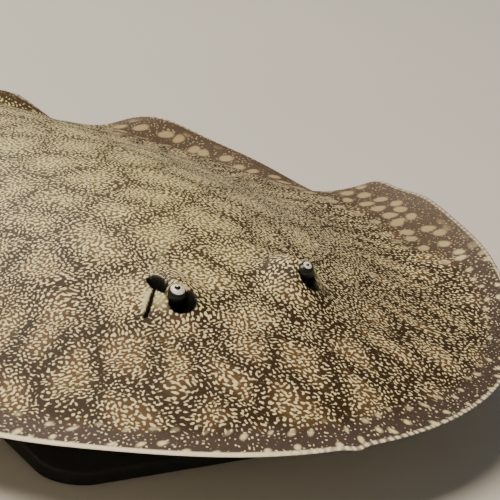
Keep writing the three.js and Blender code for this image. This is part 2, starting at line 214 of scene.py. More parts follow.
# ---- the head's relief: places are (u, |v|), and values that differ are (right, left) ----
OUTWARDS = 3.4  # how much further out all of this lies on the left, where the eye is raised
MOUND = dict(at=(106.0, 25.0), length=(11.0, 13.0), inner=(8.5, 10.0), outer=(6.2, 8.0), lift=(5.2, 9.6))
LOOK = ((0.94, 0.34), (1.0, 0.0))  # the way the eye's opening faces, in plan
LID = dict(skin=0.35, open_at=(1.06, 2.0), open_along=(3.0, 1.8), open_across=(3.3, 2.1), blend=2.6)
SHELL = EYE_RADIUS + LID["skin"]  # the lid's outer radius
# The hollow before the eyeball, coloured near black by painted shade.
HOLLOW = dict(at=(113.0, 26.5), along=(5.6, 5.0), across=(5.3, 4.2), floor=(18.5, 22.5))
SPIRACLE = [dict(start=(95.3, 30.1), end=(99.4, 30.1), radius=(2.2, 2.4), depth=9.0),
            dict(start=(99.5, 30.0), end=(109.0, 29.6), radius=(2.2, 1.0), depth=7.0)]
SLIT = dict(start=(100.8, 31.9), end=(112.2, 41.4), radius=(0.55, 0.75), depth=3.0)
LIP = dict(width=(3.7, 1.9), lift=0.8)  # the smooth lip along the slit's outer side, pale with painted highlight on its lit slope
# The wall that closes the spiracle in front, and how much painted highlight it takes, more on the left.
WALL = dict(at=(107.0, 33.5), size=(4.5, 2.6), lift=(0.9, 3.2), pale=(0.7, 1.0))


def inside_line(u, a, line):
    """A tapering strip with round ends.

    Returns how far inside it a place is, the share along it, and how far outwards of its middle line."""
    way = np.subtract(line["end"], line["start"])
    long = np.hypot(*way)
    du, da = u - line["start"][0], a - line["start"][1]
    share = np.clip((du * way[0] + da * way[1]) / long**2, 0, 1)
    off = np.hypot(du - share * way[0], da - share * way[1])
    radius = line["radius"][0] + (line["radius"][1] - line["radius"][0]) * share
    return radius - off, share, (da * way[0] - du * way[1]) / long


def along_look(du, da, side):
    """Turns distances in plan to those along and across the way that the side's eye looks."""
    look = np.array(LOOK)[side]
    return du * look[..., 0] + da * look[..., 1], da * look[..., 0] - du * look[..., 1]


def eyelid(u, a, side):
    """A shell over the eyeball, opened ahead of the iris by a strip with a round rear end.

    Returns the share of lid, the shell's height, the place across the opening, where 1 is its edge, and
    the distance from the eyeball's middle in plan."""
    ball = np.array([EYE[-1], EYE[1] - [0, OUTWARDS, 0]])[side]
    du, da = u - ball[..., 0], a - ball[..., 1]
    out, across = along_look(du, da, side)
    off = np.hypot(du, da)
    ahead = out - np.take(LID["open_at"], side)
    along = ahead / np.take(LID["open_along"], side)
    across = across / np.take(LID["open_across"], side)
    opening = np.where(ahead > 0, np.abs(across), np.hypot(along, across))
    height = ball[..., 2] + np.sqrt(np.clip(SHELL**2 - off**2, 0, None))
    hood = smooth(0.95, 1.05, opening) * smooth(SHELL + LID["blend"], SHELL - 0.8, off)
    return hood * smooth(2.8, 0.6, out), height, opening, off


def head_relief(u, v, w):
    """Adds the eye mounds, lids and hollows, and the spiracles with their slit, lip and front wall.

    Each is a smooth step of a distance in plan. Returns the height and the shares of the surface that
    take near-black painted shade in the pits, painted highlight on the lip, and lid edge together with
    the painted highlight on the spiracle's front wall."""
    side = (v > 0).astype(int)
    a = np.abs(v) - OUTWARDS * side

    # The eye's mound and the spiracle's front wall are bells.
    du, da = u - MOUND["at"][0], a - MOUND["at"][1]
    width = np.where(da < 0, np.take(MOUND["inner"], side), np.take(MOUND["outer"], side))
    mound = np.exp(-((du / np.take(MOUND["length"], side)) ** 2) - (da / width) ** 2)
    w = w + np.take(MOUND["lift"], side) * mound
    du, da = u - WALL["at"][0], a - WALL["at"][1]
    wall = np.exp(-((du / WALL["size"][0]) ** 2 + (da / WALL["size"][1]) ** 2))
    w = w + np.take(WALL["lift"], side) * wall

    # The lip swells beside the slit and fades out at its two ends.
    slit, share, off = inside_line(u, a, SLIT)
    width = LIP["width"][0] + (LIP["width"][1] - LIP["width"][0]) * share
    lip = smooth(0.0, 0.6, off) * smooth(width + 0.8, width - 1.2, off)
    lip = lip * smooth(-0.1, 0.3, share) * smooth(1.0, 0.7, share)
    w = w + LIP["lift"] * lip * smooth(0.2, 2.2, off)

    hood, shell_height, opening, off_eye = eyelid(u, a, side)
    w = w + hood * np.clip(shell_height - w, 0, None)
    uncut = w

    # The hollow goes down to its floor and takes in the place of the eyeball's open front.
    long, wide = along_look(u - HOLLOW["at"][0], a - HOLLOW["at"][1], side)
    across = np.take(HOLLOW["across"], side)
    bowl = (1 - np.hypot(long / np.take(HOLLOW["along"], side), wide / across)) * across
    bowl = np.where((off_eye < SHELL) & (opening < 1), 5.0, bowl)
    drop = np.clip(w - np.take(HOLLOW["floor"], side), 0, None)
    w = w - smooth(0, 2.2, bowl) * (1 - hood) * drop

    # The slit and the spiracle, which stops short of the lid's shell.
    w = w - SLIT["depth"] * smooth(0, 0.7, slit)
    near = np.maximum(slit, np.where(hood < 0.5, bowl, -9.0))
    for part in SPIRACLE:
        inside, _, _ = inside_line(u, a, part)
        inside = np.minimum(inside, off_eye - SHELL + 0.4)
        w = w - part["depth"] * smooth(0, 1.3, inside)
        near = np.maximum(near, inside)

    # Painted shade: near black by how deep the hollow, slit and spiracle cut in, and how near they are.
    dark = np.maximum(smooth(0.25, 1.1, uncut - w), smooth(-0.65, 0.15, near))
    # The lid edge share also takes the front wall's painted highlight.
    edge = np.maximum(hood * smooth(1.35, 1.0, opening), np.take(WALL["pale"], side) * wall)
    # The lip's share is its painted highlight.
    return w, dark, lip * (1 - dark), edge * (1 - dark)


# ---- meshes ----
def grid_faces(count_rows, count_columns, closed=False):
    """Quads of a grid of points stored row by row; closed joins the last column to the first."""
    i = np.arange(count_rows - 1)[:, None] * count_columns
    j = np.arange(count_columns if closed else count_columns - 1)[None, :]
    k = (j + 1) % count_columns
    return np.stack([i + j, i + k, i + k + count_columns, i + j + count_columns], -1).reshape(-1, 4)


def capped(rings):
    """Closes a stack of rings by one more at each end, whose points all lie at that end's middle."""
    ends = np.repeat(rings[[0, -1]].mean(1, keepdims=True), rings.shape[1], 1)
    return np.concatenate([ends[:1], rings, ends[1:]])


def new_piece(name, points, faces, replaced=(), uvs=None, shares=None, smooth_faces=True):
    """A mesh object from points in metres and faces; doubles are welded and faces turned outwards.

    uvs are per face corner under the name OFBake, and shares are named values at each point."""
    mesh = bpy.data.meshes.new(name)
    mesh.from_pydata(points.reshape(-1, 3).tolist(), [], faces.tolist())
    if uvs is not None:
        layer = mesh.uv_layers.new(name="OFBake")
        layer.data.foreach_set("uv", uvs.reshape(-1).astype(np.float32))
    for key, values in (shares or {}).items():
        attribute = mesh.attributes.new(key, "FLOAT", "POINT")
        attribute.data.foreach_set("value", np.asarray(values, np.float32).reshape(-1))
    work = bmesh.new()
    work.from_mesh(mesh)
    bmesh.ops.remove_doubles(work, verts=work.verts, dist=2e-6)
    bmesh.ops.recalc_face_normals(work, faces=work.faces)
    work.to_mesh(mesh)
    work.free()
    mesh.polygons.foreach_set("use_smooth", np.full(len(mesh.polygons), smooth_faces))
    piece = bpy.data.objects.new(name, mesh)
    bpy.context.scene.collection.objects.link(piece)
    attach(piece, "root")
    if replaced:
        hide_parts(*replaced)
    return piece


# ---- the skin ----
UPPER_FOLD = dict(start=-372.0, end=-486.0, height=3.2)
LOWER_FOLD = dict(start=-300.0, end=-486.0, height=4.6)


def tail_fold(u, v, fold):
    """A thin upright fold on the tail's middle line: a sine arch along it, a steep bell across it."""
    s = np.clip((u - fold["start"]) / (fold["end"] - fold["start"]), 0, 1)
    arch = fold["height"] * np.sin(np.pi * s**0.8) ** 0.6
    return arch * (0.9 * np.exp(-((v / 0.6) ** 4)) + 0.1 * np.exp(-((v / 1.6) ** 2)))


MOUTH = dict(at=112.0, half_width=15.0, curve=0.02)
GILLS = dict(count=5, first=(74.0, 43.0), step=(-14.0, -3.8), turn=-12.0)  # places (u, |v|)
VENT_AT = -152.0


def turned(u, a, at, turn):
    """Coordinates along and across an axis that is turned outwards from straight ahead."""
    c, s = np.cos(np.radians(turn)), np.sin(np.radians(turn))
    du, da = u - at[0], a - at[1]
    return du * c + da * s, -du * s + da * c


def belly_relief(u, v, w):
    """Dents of the underside: mouth, nostrils, five pairs of gill slits and vent, each a bell in plan.

    A low flap of skin stands between the nostrils. Returns the height and the share of the dents that
    takes painted shade."""
    a = np.abs(v)
    lips = u - MOUTH["at"]
    mouth = np.exp(-(((lips - MOUTH["curve"] * v * v) / 1.5) ** 2))
    mouth = mouth * (1 - smooth(MOUTH["half_width"] - 2, MOUTH["half_width"] + 2, a))
    flap = np.exp(-(((lips - 5.5) / 3.4) ** 2)) * (1 - smooth(8, 13, a))
    nostril = np.exp(-(((lips - 9) / 2.6) ** 2) - ((a - 13) / 3.4) ** 2)
    slits = 0
    for k in range(GILLS["count"]):
        at = np.add(GILLS["first"], np.multiply(GILLS["step"], k))
        along, across = turned(u, a, at, GILLS["turn"])
        slits = slits + np.exp(-((along / 1.3) ** 2)) * (1 - smooth(4.5, 7, np.abs(across)))
    vent = np.exp(-(((u - VENT_AT) / 7) ** 2) - (a / 1.8) ** 2)
    dent = 2.6 * mouth + 2.2 * nostril + 1.6 * slits + 1.5 * vent - 1.3 * flap
    # The share of the dents becomes brown painted shade.
    return w + dent, np.clip(mouth + nostril + slits + vent, 0, 1)


ROWS_DISC, ROWS_FILLET, ROWS_TAIL = 232, 9, 52
COLUMNS_TOP, COLUMNS_BELLY = 124, 38
HEAD_ANGLES, HEAD_SHARES = (38, 56), (0.13, 0.38)  # of the ribs, where they cross eyes and spiracles

# The bake map's layout, in its own units from 0 to 1: the back is largest, then tail, then belly.
MAP_PARTS = {  # the map place of the part's middle line at its rear end, where that end is, and its scale
    "back": (0.383, 0.133, TAIL_START, 0.00205),
    "belly": (0.8825, 0.004, TAIL_START, 0.00059),
    "tail back": (0.810, 0.270, TAIL_END, 0.0026),
    "tail belly": (0.910, 0.270, TAIL_END, 0.0026),
}


def map_place(u, v, part):
    """Bake map places: a plan view of each part, laid beside the others."""
    x, y, rear, scale = MAP_PARTS[part]
    return np.stack([x + v * scale, y + (u - rear) * scale], -1)


def disc_and_tail():
    """Ribs from the animal's axis out to the rim, over the back and round under the belly.

    Returns points, faces, bake map places, and values for the material: the way in from the rim, the
    way along it from the snout, and the shares of belly, of painted shade in the pits and dents, of
    painted highlight on the lip, and of lid edge with the painted highlight on the front wall."""
    rows = np.concatenate([
        disc_rows(np.radians(spread(0, END_ANGLE, ROWS_DISC, [(*HEAD_ANGLES, 5.0)]))),
        fillet_rows(np.linspace(0, 1, ROWS_FILLET + 1)[1:]),
        tail_rows(np.linspace(TAIL_START, TAIL_END, ROWS_TAIL + 1)[1:]),
    ])
    top = spread(0, 1, COLUMNS_TOP, [(*HEAD_SHARES, 6.0), (0.96, 1, 5)])
    low = spread(0, 1, COLUMNS_BELLY, [(0, 0.42, 2.2), (0.96, 1, 4)])
    share = np.concatenate([top[::-1], top[1:], low[-2::-1], low[1:-1]])
    side = np.repeat([1.0, -1.0, -1.0, 1.0], [len(top), len(top) - 1, len(low) - 1, len(low) - 2])
    is_top = np.arange(len(share)) < 2 * len(top) - 1

    root, edge_u, edge_v, _, tail = (rows[:, k, None] for k in range(5))
    u = root + (edge_u - root) * share
    v = side * edge_v * share
    back = sheet_height(rows, share, side, 1) + tail_fold(u, v, UPPER_FOLD) * (tail == 1)
    belly = sheet_height(rows, share, side, -1) - tail_fold(u, v, LOWER_FOLD) * (tail == 1)
    back, dark, pale, lid = head_relief(u, v, back)
    belly, slit = belly_relief(u, v, belly)
    bent_u, bent_v = bend(u, v)
    points = np.stack([bent_u, bent_v, np.where(is_top, back, belly)], -1)
    points = capped(points)[1:]

    values = {
        "rim_mm": (1 - share) * np.hypot(edge_u - root, edge_v) + 60 * tail,
        "arc_mm": np.cumsum(np.hypot(np.diff(rows[:, 1], prepend=rows[0, 1]),
                                     np.diff(rows[:, 2], prepend=0)))[:, None] * side,
        "belly": np.where(share == 1, 0.5, ~is_top * 1.0) + 0 * tail,
        # dark is painted shade: in the head's pits on the back, and in the belly's dents.
        "dark": np.where(is_top, dark, slit),
        "pale": np.where(is_top, pale, 0),
        "lid": np.where(is_top, lid, 0),
    }
    values = {key: np.concatenate([value, value[-1:]]).reshape(-1) for key, value in values.items()}

    faces = grid_faces(*points.shape[:2], closed=True)
    flat_u = np.concatenate([u, u[-1:]]).reshape(-1)
    flat_v = np.concatenate([v, v[-1:]]).reshape(-1)
    column = np.tile(np.arange(points.shape[1]), points.shape[0] - 1)
    row = np.repeat(np.arange(points.shape[0] - 1), points.shape[1])
    on_top = column < 2 * len(top) - 2
    on_tail = row >= len(rows) - ROWS_TAIL - 1
    uvs = np.zeros((*faces.shape, 2))
    for part, mask in {"back": on_top & ~on_tail, "belly": ~on_top & ~on_tail,
                       "tail back": on_top & on_tail, "tail belly": ~on_top & on_tail}.items():
        uvs[mask] = map_place(flat_u[faces[mask]], flat_v[faces[mask]], part)
    return points.reshape(-1, 3), faces, uvs, values


PELVIC_RINGS, PELVIC_TURN = 26, 40  # points from front to rear, and round a ring
PELVIC = dict(front=-140.5, length=76.0, inner=12.0, height=-7.4, half_thickness=1.15)
# How far out a pelvic fin reaches, as (u, |v|) knots.
PELVIC_OUTLINE = [(-217, 22), (-213, 44), (-202, 60), (-186, 66), (-166, 55), (-150, 34), (-140, 14)]
# The places of both fins' two sides in the bake map: the first one's corner, the step and the scale.
PELVIC_MAP = dict(corner=(0.01, 0.012), step=0.075, scale=0.0013)


def pelvic_fin(side):
    """A rounded triangular sheet under the disc's rear margin: a lens from an inner to an outer line.

    Returns points, faces, bake map places and values, as the disc and the tail do."""
    s = np.linspace(0, 1, PELVIC_RINGS)[:, None]
    turn = np.linspace(0, 2 * np.pi, PELVIC_TURN, endpoint=False)[None, :]
    u = PELVIC["front"] - PELVIC["length"] * s + 0 * turn
    outer = profile(PELVIC_OUTLINE, u)
    middle, half = (PELVIC["inner"] + outer) / 2, (outer - PELVIC["inner"]) / 2
    v = middle + half * np.cos(turn)
    end = np.sqrt(np.clip(1 - (2 * s - 1) ** 8, 0, None))
    droop = 1.2 * smooth(30, 70, v) + 0.8 * smooth(-190, -217, u)
    lens = np.sign(np.sin(turn)) * np.abs(np.sin(turn)) ** 0.7
    w = PELVIC["height"] - droop + PELVIC["half_thickness"] * end * lens
    points = capped(np.stack([u, side * v, w], -1)).reshape(-1, 3)

    rings = PELVIC_RINGS + 2
    faces = grid_faces(rings, PELVIC_TURN, closed=True)
    is_top = np.arange(PELVIC_TURN) < PELVIC_TURN // 2
    above = np.tile(is_top, rings - 1)[:, None]
    rear, inner = PELVIC_OUTLINE[0][0], PELVIC["inner"]
    x = PELVIC_MAP["corner"][0] + (points[faces, 1] * side - inner) * PELVIC_MAP["scale"]
    y = PELVIC_MAP["corner"][1] + (points[faces, 0] - rear) * PELVIC_MAP["scale"]
    uvs = np.stack([x + PELVIC_MAP["step"] * (side + 1 + above), y], -1)
    none = np.zeros(len(points))
    rim = np.tile(np.abs(np.sin(turn[0])) * 8, rings) + 0.3
    values = {"rim_mm": rim, "arc_mm": points[:, 1], "belly": np.tile(~is_top, rings),
              "dark": none, "pale": none, "lid": none}
    return points, faces, uvs, values


def skin():
    """The animal's one skin: disc and tail, which the two pelvic fins join from below."""
    points, faces, uvs, values = disc_and_tail()
    for side in (1, -1):
        fin, fin_faces, fin_uvs, fin_values = pelvic_fin(side)
        faces = np.concatenate([faces, fin_faces + len(points)])
        uvs = np.concatenate([uvs, fin_uvs])
        values = {key: np.concatenate([value, fin_values[key]]) for key, value in values.items()}
        points = np.concatenate([points, fin])

    nodes = [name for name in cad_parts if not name.startswith(("stand_", "eye_", "tail_sting"))]
    return new_piece("skin", to_model(points), faces, nodes, uvs, values)


# ---- eyes, sting and thorns ----
GAZE = {1: np.array([0.55, 0.00, 0.84]), -1: np.array([0.40, -0.13, 0.92])}  # left eye, right eye
IRIS = {1: 1.6, -1: 2.75}  # radius that shows between the lids


def eye(side):
    """A ball about its own gaze: rings of polar angle, with the cornea bulging by a bell round the pole.

    Two named values hold the place across the iris, where 1 is its rim."""
    gaze = GAZE[side] / np.linalg.norm(GAZE[side])
    level = np.cross([0, 0, 1.0], gaze)
    level /= np.linalg.norm(level)
    upright = np.cross(gaze, level)
    polar = np.linspace(0, np.pi, 49)[:, None]
    turn = np.linspace(0, 2 * np.pi, 64, endpoint=False)[None, :]
    radius = EYE_RADIUS + 0.2 * np.exp(-((polar / 0.55) ** 2))
    arc = EYE_RADIUS * polar / IRIS[side]
    x, y = np.sin(polar) * np.cos(turn), np.sin(polar) * np.sin(turn)
    place = radius[..., None] * (x[..., None] * level + y[..., None] * upright
                                 + (np.cos(polar) + 0 * turn)[..., None] * gaze)
    centre = EYE[side] * [1, side, 1]
    values = {"iris_x": (arc * np.cos(turn)).reshape(-1), "iris_y": (arc * np.sin(turn)).reshape(-1)}
    faces = grid_faces(*place.shape[:2], closed=True)
    word = "left" if side > 0 else "right"
    return new_piece("eyeball_" + word, to_model(centre + place).reshape(-1, 3), faces,
                     ["eye_" + word], None, values)


STING = dict(base=-318.0, length=52.0, half_width=2.6, height=1.9, teeth=26, tooth=0.35)


def sting():
    """A flattened spine: a round section that tapers to a point, with backward teeth on both edges."""
    s = np.linspace(0, 1, 209)[:, None]
    turn = np.linspace(0, 2 * np.pi, 24, endpoint=False)[None, :]
    size = np.sqrt(1 - s) * (1 - 0.35 * s) * smooth(-0.25, 0.12, s)
    saw = 1 - (s * STING["teeth"]) % 1
    edge = np.abs(np.cos(turn)) ** 6
    tooth = STING["tooth"] * saw * edge * smooth(0.08, 0.2, s) * (1 - s) ** 0.3
    half = STING["half_width"] * size + tooth
    u = STING["base"] - STING["length"] * s + 0 * turn
    foot = TAIL_CENTRE + profile(TAIL_HEIGHT, u) - 0.3 + 2.0 * s
    v = half * np.cos(turn)
    w = foot + STING["height"] * size * (0.5 + 0.5 * np.sin(turn)) ** 0.8
    bent_u, bent_v = bend(u, v)
    points = capped(np.stack([bent_u, bent_v, w], -1))
    faces = grid_faces(*points.shape[:2], closed=True)
    return new_piece("tail_sting_spine", to_model(points).reshape(-1, 3), faces, ["tail_sting"])


THORNS = dict(first=-168.0, last=-310.0, count=13, radius=2.1, height=3.2)


def thorns():
    """A row of hooked thorns on the tail's middle line: cones that lean back by the square of height."""
    s = np.linspace(0, 1, 9)[None, :, None]
    turn = np.linspace(0, 2 * np.pi, 14, endpoint=False)[None, None, :]
    place = np.linspace(THORNS["first"], THORNS["last"], THORNS["count"])[:, None, None]
    scale = 0.75 + 0.25 * np.cos(np.arange(THORNS["count"]) * 2.4)[:, None, None]
    radius = THORNS["radius"] * scale * (1 - s) ** 1.4
    u = place + radius * 1.35 * np.cos(turn) - 2.6 * scale * s * s
    v = radius * np.sin(turn) + 0 * u
    tail = TAIL_CENTRE + profile(TAIL_HEIGHT, place)
    trunk = RIM / 2 + FIN_TOP + profile(BACK_HEIGHT, place)
    seat = tail + (trunk - tail) * smooth(-215, -165, place) - 1.0
    w = seat + (THORNS["height"] * scale + 0.8) * s + 0 * u
    bent_u, bent_v = bend(u, v)
    points = np.stack([bent_u, bent_v, w], -1)
    base = np.repeat(points[:, :1].mean(2, keepdims=True), points.shape[2], 2)
    points = np.concatenate([base, points], 1)
    faces = grid_faces(*points.shape[1:3], closed=True)
    shift = np.arange(THORNS["count"])[:, None, None] * points.shape[1] * points.shape[2]
    faces = (faces + shift).reshape(-1, 4)
    return new_piece("tail_thorns", to_model(points).reshape(-1, 3), faces)


# ---- materials ----
def srgb(code):
    """A hex colour as linear red, green, blue and alpha."""
    value = np.array([int(code[k:k + 2], 16) / 255 for k in (1, 3, 5)])
    linear = np.where(value <= 0.04045, value / 12.92, ((value + 0.055) / 1.055) ** 2.4)
    return (*linear.tolist(), 1.0)


def add(tree, kind, inputs=None, out=0, **settings):
    """Adds a shader node with its settings and links, and returns one of its outputs.

    inputs maps a socket's name or number to a plain value or to another node's output."""
    node = tree.nodes.new("ShaderNode" + kind)
    for key, value in settings.items():
        setattr(node, key, value)
    for key, value in (inputs or {}).items():
        if isinstance(value, bpy.types.NodeSocket):
            tree.links.new(value, node.inputs[key])
        else:
            node.inputs[key].default_value = value
    return node.outputs[out]


SOFT = {"interpolation_type": "SMOOTHSTEP"}  # a range that starts and ends gently
FALLING = {"To Min": 1.0, "To Max": 0.0}  # a range that goes from 1 down to 0
COLOURS = {"out": 2, "data_type": "RGBA"}  # a mix of two colours, which are its inputs 6 and 7


def new_material(name):
    """An empty node material, and its tree."""
    material = bpy.data.materials.new(name)
    material.use_nodes = True
    material.node_tree.nodes.clear()
    return material, material.node_tree


def finish(tree, **inputs):
    """Ends a tree in one Principled shader; names use _ for a space."""
    shader = add(tree, "BsdfPrincipled", {key.replace("_", " "): value for key, value in inputs.items()})
    end = tree.nodes.new("ShaderNodeOutputMaterial")
    tree.links.new(shader, end.inputs["Surface"])


def wave_field(tree, place, pitch, drift, start, waves=6):
    """Worm-like ridges about one pitch apart: a sum of plane waves, scaled to unit spread.

    The waves' directions are evenly turned, and each one's phase drifts with its own slow noise."""
    total = 0.0
    for k in range(waves):
        angle = np.pi * (k + 0.37) / waves
        heading = (np.cos(angle) * 2 * np.pi / pitch, np.sin(angle) * 2 * np.pi / pitch, 0.0)
        moved = add(tree, "VectorMath", {0: place, 1: (start + 31.7 * k, 17.3 * k - start, 0)})
        slow = add(tree, "TexNoise", {"Vector": moved, "Scale": 0.42 / pitch, "Detail": 0.0},
                   noise_dimensions="2D")
        along = add(tree, "VectorMath", {0: place, 1: heading}, out="Value", operation="DOT_PRODUCT")
        phase = add(tree, "Math", {0: slow, 1: drift, 2: along}, operation="MULTIPLY_ADD")
        wave = add(tree, "Math", {0: phase}, operation="COSINE")
        total = add(tree, "Math", {0: wave, 1: total}, operation="ADD")
    return add(tree, "Math", {0: total, 1: (2 / waves) ** 0.5}, operation="MULTIPLY")


# ---- the skin's pattern, in millimetres ----
FINE_PITCH, COARSE_PITCH, WORM_PITCH = 1.55, 2.05, 1.85  # marks over the back, marks near the rim, worms
NET = dict(cell=27.0, rays=8.3, ray_length=38.0)  # cells over the back; rays to a radian near the rim
ROSETTE_PITCH = 9.6
RIM_DOT_PITCH = 3.4


def skin_guides(tree):
    """What the skin's patterns are laid out by: its named values, warped places, and slow noises."""
    g = SimpleNamespace()
    # dark is painted shade, and pale and lid hold painted highlight on the spiracle's lip and front wall.
    for name in ("rim_mm", "arc_mm", "belly", "dark", "pale", "lid"):
        setattr(g, name, add(tree, "Attribute", attribute_name=name, out="Fac"))
    here = add(tree, "TexCoord", out="Object")
    place = add(tree, "VectorMath", {0: here, 1: tuple(-ORIGIN)})
    g.place = add(tree, "VectorMath", {0: place, "Scale": 1 / MM}, operation="SCALE")

    # Places are warped by a few millimetres in waves of about 20 mm.
    warp = add(tree, "TexNoise", {"Vector": g.place, "Scale": 0.05, "Detail": 2.0}, out="Color")
    warp = add(tree, "VectorMath", {0: warp, 1: (-0.5, -0.5, -0.5)})
    g.warped = add(tree, "VectorMath", {0: warp, 1: (9, 9, 0), 2: g.place}, operation="MULTIPLY_ADD")
    strip = add(tree, "CombineXYZ", {"X": g.arc_mm, "Y": g.rim_mm, "Z": 0.0})
    g.strip = add(tree, "VectorMath", {0: warp, 1: (9, 9, 0), 2: strip}, operation="MULTIPLY_ADD")

    # The tint changes over about 36 mm, and the patches over about 9 mm.
    g.tint = add(tree, "TexNoise", {"Vector": g.place, "Scale": 0.028, "Detail": 2.0, "Roughness": 0.6})
    g.patch = add(tree, "TexNoise", {"Vector": g.place, "Scale": 0.11, "Detail": 2.0})

    # The sides of the disc lie beyond 185 to 245 mm along the rim from the snout.
    g.along = add(tree, "Math", {0: g.arc_mm}, operation="ABSOLUTE")
    g.aside = add(tree, "MapRange", {"Value": g.along, "From Min": 185.0, "From Max": 245.0}, **SOFT)
    g.band = margin_band(tree, g)
    return g


def margin_band(tree, g):
    """The share of grey-brown margin: a band inside the rim, wide at the sides and thin by the tail."""
    narrow = add(tree, "MapRange", {"Value": g.along, "From Min": 445.0, "From Max": 490.0,
                                    "To Max": 3.0}, **SOFT)
    narrow = add(tree, "Math", {0: g.aside, 1: -0.56, 2: narrow}, operation="MULTIPLY_ADD")
    narrow = add(tree, "Math", {0: narrow, 1: 1.0})
    behind = add(tree, "MapRange", {"Value": g.along, "From Min": 280.0, "From Max": 350.0,
                                    "To Max": -0.12}, **SOFT)
    narrow = add(tree, "Math", {0: behind, 1: narrow})
    band = add(tree, "Math", {0: g.rim_mm, 1: narrow}, operation="MULTIPLY")
    band = add(tree, "Math", {0: g.patch, 1: 10.0, 2: band}, operation="MULTIPLY_ADD")
    return add(tree, "MapRange", {"Value": band, "From Min": 13.0, "From Max": 23.0, **FALLING}, **SOFT)


def dark_net(tree, g):
    """The net's lines, and the hearts of its cells: steps of the distance to a Voronoi cell's edge.

    Cells over the back are round. Those near the rim lie on the plane of the turn about the disc's
    middle and the way in from the rim, so that they are long and radiate."""
    left = add(tree, "SeparateXYZ", {0: g.warped}, out="X")
    ahead = add(tree, "SeparateXYZ", {0: g.warped}, out="Y")
    ahead = add(tree, "Math", {0: ahead, 1: -1.0}, operation="MULTIPLY")
    turn = add(tree, "Math", {0: left, 1: ahead}, operation="ARCTAN2")
    turn = add(tree, "Math", {0: turn, 1: NET["rays"]}, operation="MULTIPLY")
    depth = add(tree, "Math", {0: g.rim_mm, 1: 1 / NET["ray_length"]}, operation="MULTIPLY")
    fan = add(tree, "CombineXYZ", {"X": turn, "Y": depth, "Z": 0.0})
    round_cell, ray = (add(tree, "TexVoronoi", {"Vector": vector, "Scale": scale, "Randomness": 1.0},
                           out="Distance", feature="DISTANCE_TO_EDGE", voronoi_dimensions="2D")
                       for vector, scale in ((g.warped, 1 / NET["cell"]), (fan, 1.0)))
    outer = add(tree, "MapRange", {"Value": g.rim_mm, "From Min": 58.0, "From Max": 84.0, **FALLING},
                **SOFT)
    cell = add(tree, "Mix", {0: outer, 2: round_cell, 3: ray})
    lines = add(tree, "MapRange", {"Value": cell, "From Min": 0.0, "From Max": 0.055, **FALLING}, **SOFT)
    hearts = add(tree, "MapRange", {"Value": cell, "From Min": 0.05, "From Max": 0.40}, **SOFT)
    return lines, hearts


def rosettes(tree, g):
    """Pale rosettes in the margin band: one to each Voronoi cell of the strip along the rim.

    They are larger at the sides and keep clear of the rim there."""
    mark = add(tree, "TexVoronoi", {"Vector": g.strip, "Scale": 1 / ROSETTE_PITCH, "Randomness": 0.55},
               out="Distance", voronoi_dimensions="2D")
    mark = add(tree, "Math", {0: g.aside, 1: -0.18, 2: mark}, operation="MULTIPLY_ADD")
    mark = add(tree, "MapRange", {"Value": mark, "From Min": 0.05, "From Max": 0.22, "To Min": 0.85,
                                  "To Max": 0.0}, **SOFT)
    clear = add(tree, "MapRange", {"Value": g.rim_mm, "From Min": 3.0, "From Max": 10.0}, **SOFT)
    clear = add(tree, "Mix", {0: g.aside, 2: 1.0, 3: clear})
    mark = add(tree, "Math", {0: mark, 1: clear}, operation="MULTIPLY")
    return add(tree, "Math", {0: mark, 1: g.band}, operation="MULTIPLY")


def mark_level(tree, g, lines, hearts):
    """The height that a mark has to pass to show: high on the net's broken lines and in the margin."""
    broken = add(tree, "MapRange", {"Value": g.patch, "From Min": 0.40, "From Max": 0.56}, **SOFT)
    blotch = add(tree, "Math", {0: lines, 1: broken}, operation="MULTIPLY")
    level = add(tree, "MapRange", {"Value": g.rim_mm, "From Min": 25.0, "From Max": 110.0, "To Min": 0.25,
                                   "To Max": 0.11}, **SOFT)
    level = add(tree, "Math", {0: blotch, 1: 0.53, 2: level}, operation="MULTIPLY_ADD")
    level = add(tree, "Math", {0: hearts, 1: -0.2, 2: level}, operation="MULTIPLY_ADD")
    sparse = add(tree, "Math", {0: broken, 1: 0.3, 2: 0.5}, operation="MULTIPLY_ADD")
    return add(tree, "Mix", {0: g.band, 2: level, 3: sparse})


def pale_marks(tree, g, lines, hearts):
    """Small round marks, one to each Voronoi cell and each of its own paleness, and the rosettes.

    Worm-like ridges run the small marks together, and coarser cells take over towards the rim."""
    inner = add(tree, "MapRange", {"Value": g.rim_mm, "From Min": 30.0, "From Max": 90.0}, **SOFT)
    fine, coarse = (add(tree, "TexVoronoi", {"Vector": g.warped, "Scale": 1 / pitch, "Randomness": 0.75},
                        out="Distance", voronoi_dimensions="2D") for pitch in (FINE_PITCH, COARSE_PITCH))
    spots = add(tree, "Mix", {0: inner, 2: coarse, 3: fine})
    worms = wave_field(tree, g.warped, WORM_PITCH, 6.0, 3.0)
    marks = add(tree, "Math", {0: spots, 1: -2.6, 2: 1.0}, operation="MULTIPLY_ADD")
    marks = add(tree, "Math", {0: worms, 1: 0.33, 2: marks}, operation="MULTIPLY_ADD")
    level = mark_level(tree, g, lines, hearts)
    marks = add(tree, "Math", {0: marks, 1: level}, operation="SUBTRACT")
    marks = add(tree, "MapRange", {"Value": marks, "From Min": -0.16, "From Max": 0.42}, **SOFT)
    own = add(tree, "MapRange", {"Value": coarse.node.outputs["Color"], "To Min": 0.66, "To Max": 1.0})
    marks = add(tree, "Math", {0: marks, 1: own}, operation="MULTIPLY")
    return add(tree, "Math", {0: marks, 1: rosettes(tree, g)}, operation="MAXIMUM")


